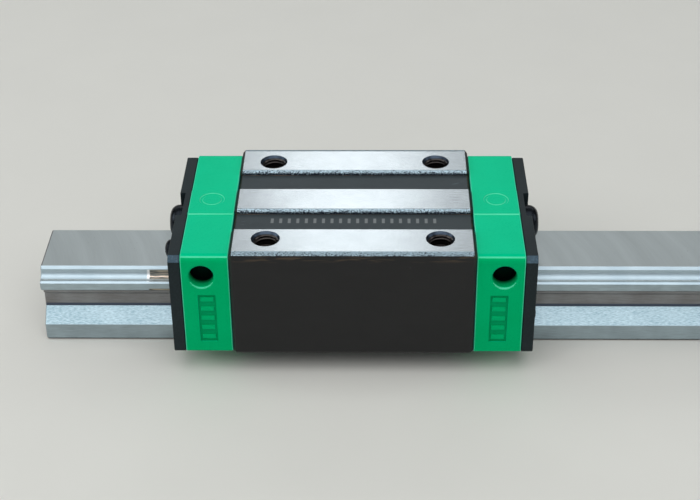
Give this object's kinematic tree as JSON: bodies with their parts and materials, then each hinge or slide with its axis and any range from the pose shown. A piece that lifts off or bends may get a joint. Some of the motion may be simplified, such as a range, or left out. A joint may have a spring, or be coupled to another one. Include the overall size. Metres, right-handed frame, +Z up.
{
  "type": "linear guide carriage on rail",
  "caption": "Tall square ball-bearing carriage with green plastic end caps and black seals, sliding on a ground steel profile rail.",
  "frame": {"origin": "middle of the rail's underside", "axes": "+X along the rail, the way the carriage slides when its joint grows; +Y across the rail; +Z up, out of the top of the carriage"},
  "size_m": [0.2, 0.044, 0.03],
  "materials": {
    "rail_steel": "satin",
    "block_steel": "matte",
    "cap_plastic": "satin",
    "seal_plastic": "satin",
    "lip_rubber": "matte",
    "screw_steel": "satin",
    "ball_steel": "polished",
    "retainer_plastic": "satin",
    "guide_plastic": "satin"
  },
  "bodies": {
    "rail": {"rail": "rail_steel"},
    "carriage": {"ball_circuit_back_lower": "ball_steel", "ball_circuit_back_upper": "ball_steel", "ball_circuit_front_lower": "ball_steel", "ball_circuit_front_upper": "ball_steel", "ball_retainer_back": "retainer_plastic", "ball_retainer_front": "retainer_plastic", "ball_retainer_top": "retainer_plastic", "bottom_seal_back": "lip_rubber", "bottom_seal_front": "lip_rubber", "cap_screw_left_back_lower": "screw_steel", "cap_screw_left_back_upper": "screw_steel", "cap_screw_left_front_lower": "screw_steel", "cap_screw_left_front_upper": "screw_steel", "cap_screw_right_back_lower": "screw_steel", "cap_screw_right_back_upper": "screw_steel", "cap_screw_right_front_lower": "screw_steel", "cap_screw_right_front_upper": "screw_steel", "carriage_block": "block_steel", "end_cap_left": "cap_plastic", "end_cap_right": "cap_plastic", "end_seal_left": "seal_plastic", "end_seal_right": "seal_plastic", "grease_plug_left": "screw_steel", "grease_plug_right": "screw_steel", "return_guide_left_back_lower": "guide_plastic", "return_guide_left_back_upper": "guide_plastic", "return_guide_left_front_lower": "guide_plastic", "return_guide_left_front_upper": "guide_plastic", "return_guide_right_back_lower": "guide_plastic", "return_guide_right_back_upper": "guide_plastic", "return_guide_right_front_lower": "guide_plastic", "return_guide_right_front_upper": "guide_plastic", "seal_lip_left": "lip_rubber", "seal_lip_right": "lip_rubber"}
  },
  "joints": [
    {"name": "carriage_slide", "type": "slide", "parent": "rail", "child": "carriage", "axis": [1, 0, 0], "range_m": [-0.027, 0.092]}
  ]
}
